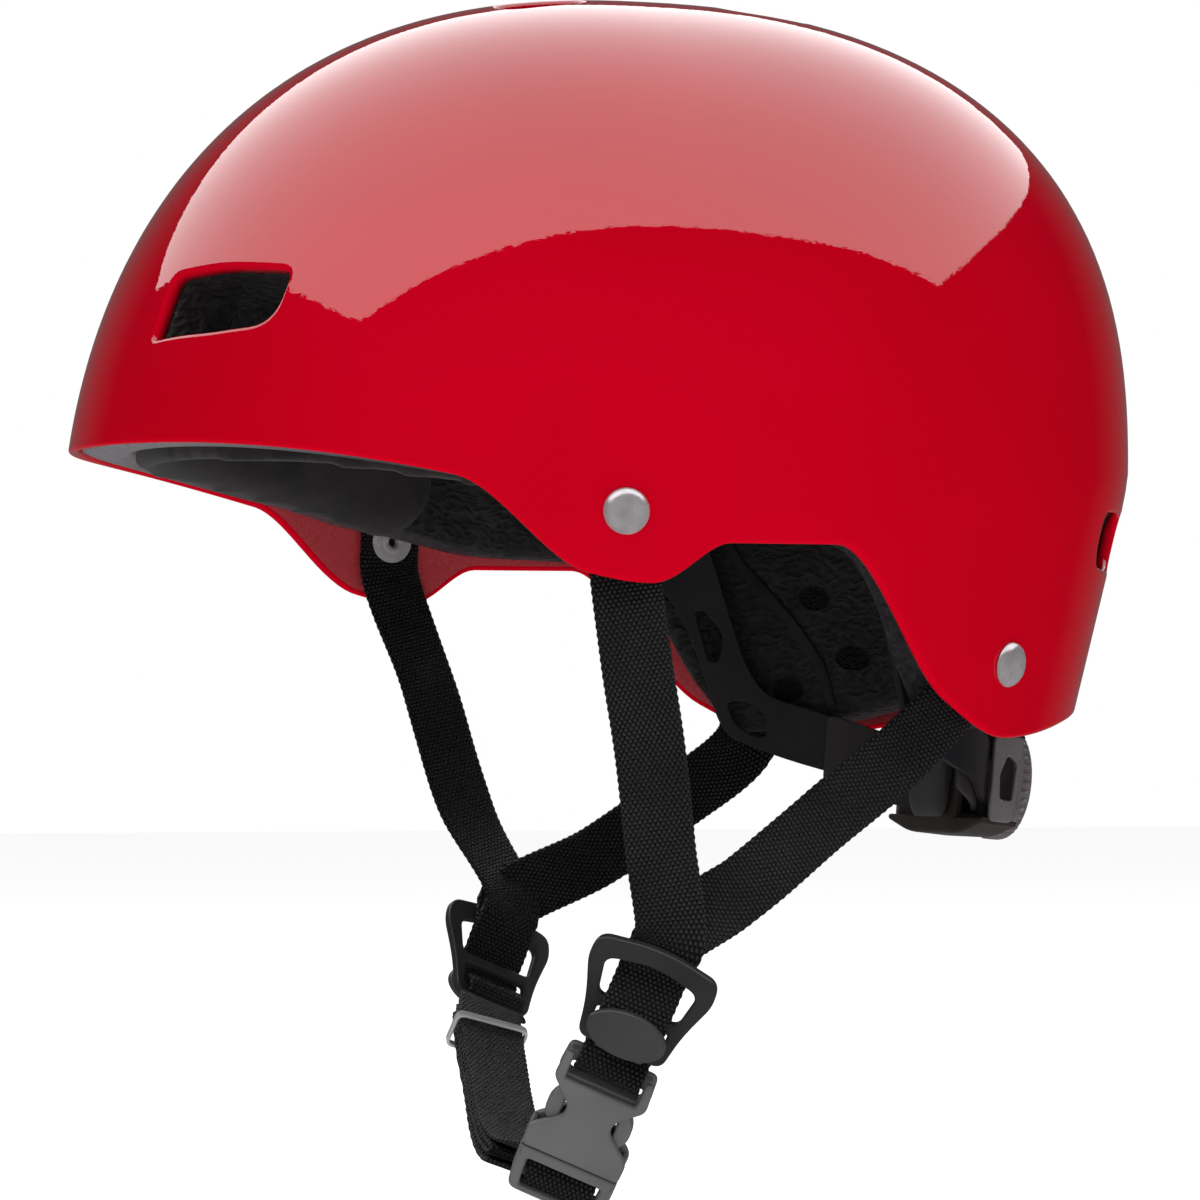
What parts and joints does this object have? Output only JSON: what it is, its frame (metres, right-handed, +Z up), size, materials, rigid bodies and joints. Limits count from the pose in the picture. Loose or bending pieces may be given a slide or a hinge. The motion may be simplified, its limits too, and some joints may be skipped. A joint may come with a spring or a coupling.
{
  "type": "water helmet",
  "caption": "Glossy hard-shell water-sports helmet with foam liner, dial-adjusted nape cradle, webbing chin strap, lock-lever strap guides and side-release buckle.",
  "frame": {"origin": "middle of the head opening, at the height of the brow rim", "axes": "+Z up, -Y to the front, +X to the wearer's left"},
  "size_m": [0.2254, 0.2852, 0.3183],
  "materials": {
    "shell": "high-gloss injection-moulded plastic",
    "foam": "closed-cell foam with a fine pebbled skin",
    "pad": "brushed knit over soft foam",
    "rivet": "polished metal",
    "web": "plain-woven webbing",
    "guide": "moulded plastic, satin",
    "buckle": "moulded plastic, satin",
    "keeper": "elastic band",
    "cradle": "flexible moulded plastic",
    "dial": "moulded plastic"
  },
  "bodies": {
    "helmet": {"outer_shell": "shell", "foam_liner": "foam", "brow_pad": "pad", "left_side_pad": "pad", "right_side_pad": "pad", "crown_pad": "pad", "left_front_rivet": "rivet", "right_front_rivet": "rivet", "left_rear_rivet": "rivet", "right_rear_rivet": "rivet", "left_front_washer": "rivet", "right_front_washer": "rivet", "left_rear_washer": "rivet", "right_rear_washer": "rivet", "left_front_strap": "web", "right_front_strap": "web", "left_rear_strap": "web", "right_rear_strap": "web", "left_strap_guide": "guide", "right_strap_guide": "guide", "buckle_socket": "buckle", "left_anchor_stud": "cradle", "right_anchor_stud": "cradle"},
    "nape_cradle": {"cradle_housing": "cradle", "housing_cover": "cradle", "nape_pad": "pad"},
    "dial": {"fit_dial": "dial", "drive_pinion": "cradle"},
    "left_arm": {"left_cradle_arm": "cradle"},
    "right_arm": {"right_cradle_arm": "cradle"},
    "chin_strap": {"right_chin_strap": "web", "spare_strap_end": "web"},
    "keeper": {"strap_keeper": "keeper"},
    "plug": {"buckle_plug": "buckle"},
    "rear_catch": {"rear_prong": "buckle"},
    "front_catch": {"front_prong": "buckle"},
    "left_lever": {"left_lock_lever": "buckle"},
    "right_lever": {"right_lock_lever": "buckle"}
  },
  "joints": [
    {"name": "cradle_fit", "type": "slide", "parent": "helmet", "child": "nape_cradle", "axis": [0, -0.9936, 0.1132], "range_m": [-0.003, 0.006]},
    {"name": "dial_turn", "type": "hinge", "parent": "nape_cradle", "child": "dial", "pos_m": [0, 0.1143, -0.09], "axis": [0, 0.9936, -0.1132], "range_deg": [-48.5, 24.4]},
    {"name": "left_arm_swing", "type": "hinge", "parent": "helmet", "child": "left_arm", "pos_m": [0.08079, 0.04256, -0.02146], "axis": [0, 0.1132, 0.9936], "range_deg": [-2.2, 4.3]},
    {"name": "right_arm_swing", "type": "hinge", "parent": "helmet", "child": "right_arm", "pos_m": [-0.08079, 0.04256, -0.02146], "axis": [0, 0.1132, 0.9936], "range_deg": [-4.3, 2.2]},
    {"name": "chin_strap_swing", "type": "hinge", "parent": "helmet", "child": "chin_strap", "pos_m": [-0.06675, -0.01025, -0.15126], "axis": [0.0494, 0.9627, -0.266], "range_deg": [0, 10.31]},
    {"name": "buckle_release", "type": "slide", "parent": "helmet", "child": "plug", "axis": [-0.5333, -0.1997, -0.822], "range_m": [0, 0.0223]},
    {"name": "keeper_slide", "type": "slide", "parent": "chin_strap", "child": "keeper", "axis": [0.8392, -0.1859, -0.5111], "range_m": [-0.005, 0.005]},
    {"name": "rear_catch_press", "type": "hinge", "parent": "plug", "child": "rear_catch", "pos_m": [0.05721, -0.01922, -0.18699], "axis": [0.7951, -0.4501, -0.4065], "range_deg": [0, 6], "stiffness_Nm_per_rad": 0.02},
    {"name": "front_catch_press", "type": "hinge", "parent": "plug", "child": "front_catch", "pos_m": [0.05299, -0.03193, -0.18116], "axis": [-0.7951, 0.4501, 0.4065], "range_deg": [0, 6], "stiffness_Nm_per_rad": 0.02},
    {"name": "left_lever_open", "type": "hinge", "parent": "helmet", "child": "left_lever", "pos_m": [0.07788, -0.02011, -0.15566], "axis": [0.2887, 0.8704, -0.3989], "range_deg": [0, 70]},
    {"name": "right_lever_open", "type": "hinge", "parent": "helmet", "child": "right_lever", "pos_m": [-0.07008, -0.01086, -0.15152], "axis": [0.1369, -0.9177, 0.3728], "range_deg": [0, 70]}
  ],
  "couplings": [
    {"joint": "dial_turn", "follows": "cradle_fit", "rad_per_m": -140.29},
    {"joint": "left_arm_swing", "follows": "cradle_fit", "rad_per_m": 12.378},
    {"joint": "right_arm_swing", "follows": "cradle_fit", "rad_per_m": -12.378},
    {"joint": "buckle_release", "follows": "chin_strap_swing", "m_per_rad": 0.12222}
  ]
}
